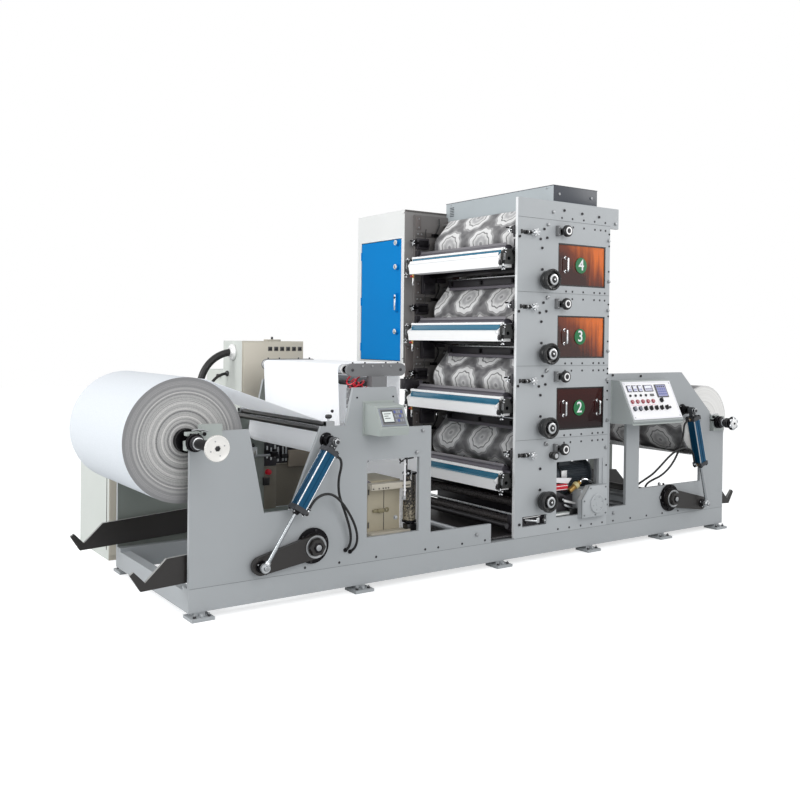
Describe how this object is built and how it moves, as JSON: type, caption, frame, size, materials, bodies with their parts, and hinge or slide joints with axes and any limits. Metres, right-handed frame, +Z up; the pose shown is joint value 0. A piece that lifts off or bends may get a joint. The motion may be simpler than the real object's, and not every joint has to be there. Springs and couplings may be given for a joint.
{
  "type": "flexographic printing press",
  "caption": "Stack flexographic printing press for narrow paper webs, with unwinder, printing tower, rewinder, web guide, drive and electric cabinets.",
  "frame": {"origin": "centre of the outer foot bolts at floor level, in the middle of the base's length and width", "axes": "+X along the web from the unwinder to the rewinder, +Y from the operator side to the drive side, +Z up"},
  "size_m": [4.7182, 2.323, 2.388],
  "materials": {
    "frame_paint": "satin",
    "dark_paint": "gloss",
    "black_paint": "satin",
    "white_paint": "satin",
    "beige_paint": "satin",
    "motor_paint": "satin",
    "cylinder_blue": "satin",
    "door_blue": "gloss",
    "zinc_steel": "satin",
    "bright_steel": "polished",
    "dark_steel": "satin",
    "anilox_steel": "satin",
    "chrome": "polished",
    "teal_rubber": "satin",
    "hose_rubber": "matt",
    "black_plastic": "gloss",
    "amber_sheet": "gloss",
    "paper": "matt",
    "printed_paper": "matt"
  },
  "bodies": {
    "frame": {"base_beams": "frame_paint", "base_crossbeams": "frame_paint", "levelling_feet": "zinc_steel", "drip_floor": "dark_paint", "unwind_side_plates": "frame_paint", "rewind_side_plates": "frame_paint", "unit_1_side_plates": "frame_paint", "unit_2_side_plates": "frame_paint", "unit_3_side_plates": "frame_paint", "unit_4_side_plates": "frame_paint", "crown_plates": "frame_paint", "top_duct": "frame_paint", "tie_bars": "zinc_steel", "window_doors": "amber_sheet", "window_handles": "chrome", "ink_trays": "white_paint", "tray_brackets": "black_paint", "fountain_rollers": "teal_rubber", "anilox_rollers": "anilox_steel", "plate_cylinders": "dark_steel", "impression_cylinders": "bright_steel", "guide_rollers": "bright_steel", "plain_web": "paper", "printed_web": "printed_paper", "web_guide": "dark_paint", "bearing_saddles": "frame_paint", "tension_box": "frame_paint", "control_desk": "frame_paint", "desk_panel": "white_paint", "drive_motor": "motor_paint", "gearbox": "white_paint", "adjuster_knobs": "black_plastic", "lift_brackets": "dark_steel", "hanging_cabinet": "beige_paint", "rear_cabinets": "beige_paint", "pump_cabinet": "beige_paint", "conduits": "black_plastic", "unwind_hoses": "hose_rubber", "rewind_hoses": "hose_rubber"},
    "unwind_reel": {"paper_roll": "paper", "unwind_shaft": "dark_steel"},
    "rewind_reel": {"printed_roll": "paper", "rewind_shaft": "dark_steel"},
    "unwind_arms": {"unwind_lift_arms": "black_paint"},
    "unwind_cylinders": {"unwind_barrels": "cylinder_blue"},
    "unwind_pistons": {"unwind_rods": "chrome"},
    "rewind_arms": {"rewind_lift_arms": "black_paint"},
    "rewind_cylinders": {"rewind_barrels": "cylinder_blue"},
    "rewind_pistons": {"rewind_rods": "chrome"},
    "handwheel_1": {"handwheel_1": "black_plastic"},
    "handwheel_2": {"handwheel_2": "black_plastic"},
    "handwheel_3": {"handwheel_3": "black_plastic"},
    "handwheel_4": {"handwheel_4": "black_plastic"},
    "cabinet_door": {"cabinet_door": "door_blue"}
  },
  "joints": [
    {"name": "unwind_reel_spin", "type": "hinge", "parent": "frame", "child": "unwind_reel", "pos_m": [-2.0985, 0, 0.878], "axis": [0, 1, 0], "continuous": true},
    {"name": "rewind_reel_spin", "type": "hinge", "parent": "frame", "child": "rewind_reel", "pos_m": [2.0175, 0, 0.8], "axis": [0, 1, 0], "continuous": true},
    {"name": "unwind_lift", "type": "hinge", "parent": "frame", "child": "unwind_arms", "pos_m": [-1.4225, 0, 0.29], "axis": [0, 1, 0], "range_deg": [0, 42]},
    {"name": "unwind_cylinder_swivel", "type": "hinge", "parent": "frame", "child": "unwind_cylinders", "pos_m": [-1.3425, 0, 0.848], "axis": [0, 1, 0], "range_deg": [0, 9.8], "deforming": ["unwind_hoses"]},
    {"name": "unwind_rod_stroke", "type": "slide", "parent": "unwind_cylinders", "child": "unwind_pistons", "axis": [0.5404, 0, 0.8414], "range_m": [0, 0.207]},
    {"name": "rewind_lift", "type": "hinge", "parent": "frame", "child": "rewind_arms", "pos_m": [1.4925, 0, 0.28], "axis": [0, -1, 0], "range_deg": [0, 44]},
    {"name": "rewind_cylinder_swivel", "type": "hinge", "parent": "frame", "child": "rewind_cylinders", "pos_m": [1.6255, 0, 0.905], "axis": [0, -1, 0], "range_deg": [0, 2.2], "deforming": ["rewind_hoses"]},
    {"name": "rewind_rod_stroke", "type": "slide", "parent": "rewind_cylinders", "child": "rewind_pistons", "axis": [-0.2601, 0, 0.9656], "range_m": [0, 0.242]},
    {"name": "handwheel_1_turn", "type": "hinge", "parent": "frame", "child": "handwheel_1", "pos_m": [0.2375, -0.556, 0.378], "axis": [0, -1, 0], "continuous": true},
    {"name": "handwheel_2_turn", "type": "hinge", "parent": "frame", "child": "handwheel_2", "pos_m": [0.2375, -0.556, 0.844], "axis": [0, -1, 0], "continuous": true},
    {"name": "handwheel_3_turn", "type": "hinge", "parent": "frame", "child": "handwheel_3", "pos_m": [0.2375, -0.556, 1.31], "axis": [0, -1, 0], "continuous": true},
    {"name": "handwheel_4_turn", "type": "hinge", "parent": "frame", "child": "handwheel_4", "pos_m": [0.2375, -0.556, 1.776], "axis": [0, -1, 0], "continuous": true},
    {"name": "cabinet_door_swing", "type": "hinge", "parent": "frame", "child": "cabinet_door", "pos_m": [-0.0635, 1.116, 1.673], "axis": [0, 0, -1], "range_deg": [0, 110]}
  ],
  "couplings": [
    {"joint": "unwind_cylinder_swivel", "follows": "unwind_lift", "ratio": 0.23184},
    {"joint": "unwind_rod_stroke", "follows": "unwind_lift", "m_per_rad": 0.28182},
    {"joint": "rewind_cylinder_swivel", "follows": "rewind_lift", "ratio": 0.0479},
    {"joint": "rewind_rod_stroke", "follows": "rewind_lift", "m_per_rad": 0.31488}
  ]
}
